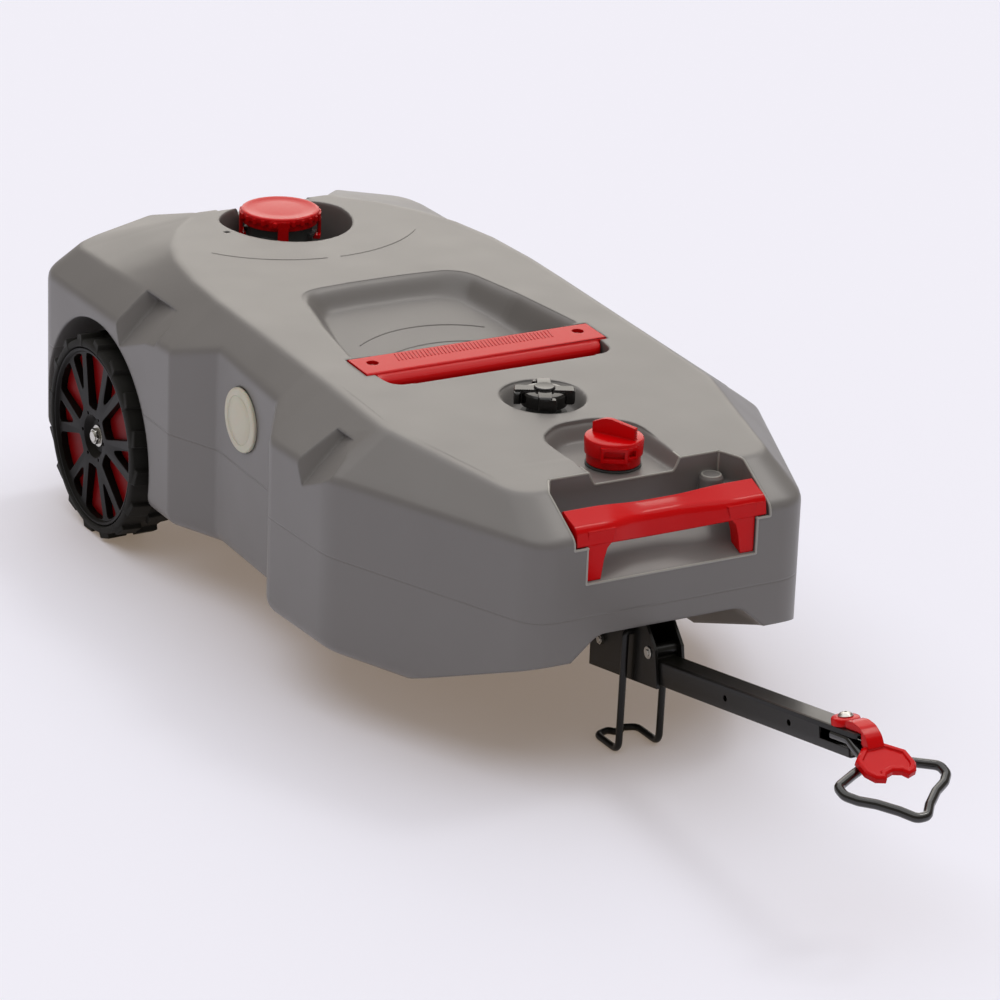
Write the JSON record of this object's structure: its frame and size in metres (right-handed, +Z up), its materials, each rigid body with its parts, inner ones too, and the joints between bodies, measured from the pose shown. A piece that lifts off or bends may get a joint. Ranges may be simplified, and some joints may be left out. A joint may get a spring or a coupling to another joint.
{
  "type": "portable waste water tank",
  "caption": "Low wheeled portable waste water tank with hinged tow bar, hand loop, kickstand, bayonet sewer inlet, vent, hose port, level gauge and carry handles.",
  "frame": {"origin": "on the ground, midway across the width and midway between the rear wall and the hand loop's tip", "axes": "+Z up; -Y forwards to the tow bar; the level gauge is on the -X side"},
  "size_m": [0.635, 1.7159, 0.4035],
  "materials": {
    "tank": "blow moulded polyethylene with a fine matte texture",
    "red_plastic": "moulded polypropylene, satin",
    "black_plastic": "moulded nylon, satin",
    "dark_plastic": "moulded ABS, satin",
    "cream_plastic": "translucent natural polyethylene",
    "rim_plastic": "moulded polypropylene, matte",
    "tyre": "matt black polymer with chunky lugs",
    "seal_rubber": "black nitrile",
    "steel": "zinc plated",
    "black_frame": "black powder coat on steel, satin"
  },
  "bodies": {
    "tank": {"axle": "steel", "axle_strap_left": "steel", "axle_strap_right": "steel", "axle_strap_screw_left_front": "steel", "axle_strap_screw_left_rear": "steel", "axle_strap_screw_right_front": "steel", "axle_strap_screw_right_rear": "steel", "bar_stop_bolt": "steel", "bar_stop_nut": "steel", "bracket_bolt_front": "steel", "bracket_bolt_rear": "steel", "deck_handle": "red_plastic", "deck_handle_screw_left": "steel", "deck_handle_screw_right": "steel", "front_handle": "red_plastic", "front_handle_screw_left": "steel", "front_handle_screw_right": "steel", "gauge_seal": "seal_rubber", "hose_fitting": "dark_plastic", "inlet_neck": "dark_plastic", "left_axle_nut": "steel", "left_axle_spacer": "black_plastic", "left_axle_washer": "steel", "level_gauge": "cream_plastic", "right_axle_nut": "steel", "right_axle_spacer": "black_plastic", "right_axle_washer": "steel", "tank_shell": "tank", "tow_bracket": "black_frame", "tow_hinge_clip": "steel", "tow_hinge_pin": "steel", "vent_fitting": "dark_plastic"},
    "left_wheel": {"left_tyre": "tyre", "left_rim": "rim_plastic", "left_wheel_disc": "red_plastic", "left_hub_bush": "dark_plastic"},
    "right_wheel": {"right_tyre": "tyre", "right_rim": "rim_plastic", "right_wheel_disc": "red_plastic", "right_hub_bush": "dark_plastic"},
    "tow_bar_body": {"tow_bar": "black_frame", "hand_loop": "black_frame", "latch_foot": "red_plastic", "latch_bolt": "steel", "latch_nut": "steel"},
    "latch_body": {"latch": "red_plastic"},
    "kickstand_body": {"kickstand": "black_frame"},
    "inlet_seal_body": {"inlet_seal": "seal_rubber"},
    "inlet_cap_body": {"inlet_cap": "red_plastic"},
    "hose_seal_body": {"hose_seal": "seal_rubber"},
    "hose_cap_body": {"hose_cap": "black_plastic"},
    "vent_seal_body": {"vent_seal": "seal_rubber"},
    "vent_cap_body": {"vent_cap": "red_plastic"}
  },
  "joints": [
    {"name": "left_wheel_spin", "type": "hinge", "parent": "tank", "child": "left_wheel", "pos_m": [-0.2805, 0.67295, 0.14], "axis": [1, 0, 0], "continuous": true},
    {"name": "right_wheel_spin", "type": "hinge", "parent": "tank", "child": "right_wheel", "pos_m": [0.2805, 0.67295, 0.14], "axis": [1, 0, 0], "continuous": true},
    {"name": "tow_bar_swing", "type": "hinge", "parent": "tank", "child": "tow_bar_body", "pos_m": [0, -0.29805, 0.152], "axis": [-1, 0, 0], "range_deg": [0, 60]},
    {"name": "latch_lift", "type": "hinge", "parent": "tow_bar_body", "child": "latch_body", "pos_m": [0, -0.71091, 0.22357], "axis": [-1, 0, 0], "range_deg": [0, 20], "stiffness_Nm_per_rad": 0.6},
    {"name": "kickstand_fold", "type": "hinge", "parent": "tank", "child": "kickstand_body", "pos_m": [0, -0.25765, 0.165], "axis": [-1, 0, 0], "range_deg": [0, 85]},
    {"name": "inlet_cap_lift", "type": "slide", "parent": "tank", "child": "inlet_seal_body", "axis": [0, 0, 1], "range_m": [0, 0.03]},
    {"name": "inlet_cap_turn", "type": "hinge", "parent": "inlet_seal_body", "child": "inlet_cap_body", "pos_m": [0, 0.73795, 0.3845], "axis": [0, 0, 1], "range_deg": [0, 35]},
    {"name": "hose_cap_lift", "type": "slide", "parent": "tank", "child": "hose_seal_body", "axis": [0, 0, 1], "range_m": [0, 0.0095]},
    {"name": "hose_cap_turn", "type": "hinge", "parent": "hose_seal_body", "child": "hose_cap_body", "pos_m": [0, 0.00795, 0.38149], "axis": [0, 0, 1], "range_deg": [0, 540]},
    {"name": "vent_cap_lift", "type": "slide", "parent": "tank", "child": "vent_seal_body", "axis": [0, 0, 1], "range_m": [0, 0.0095]},
    {"name": "vent_cap_turn", "type": "hinge", "parent": "vent_seal_body", "child": "vent_cap_body", "pos_m": [0, -0.16275, 0.3744], "axis": [0, 0, 1], "range_deg": [0, 540]}
  ],
  "couplings": [
    {"joint": "hose_cap_lift", "follows": "hose_cap_turn", "m_per_rad": 0.00095493},
    {"joint": "vent_cap_lift", "follows": "vent_cap_turn", "m_per_rad": 0.00095493}
  ]
}
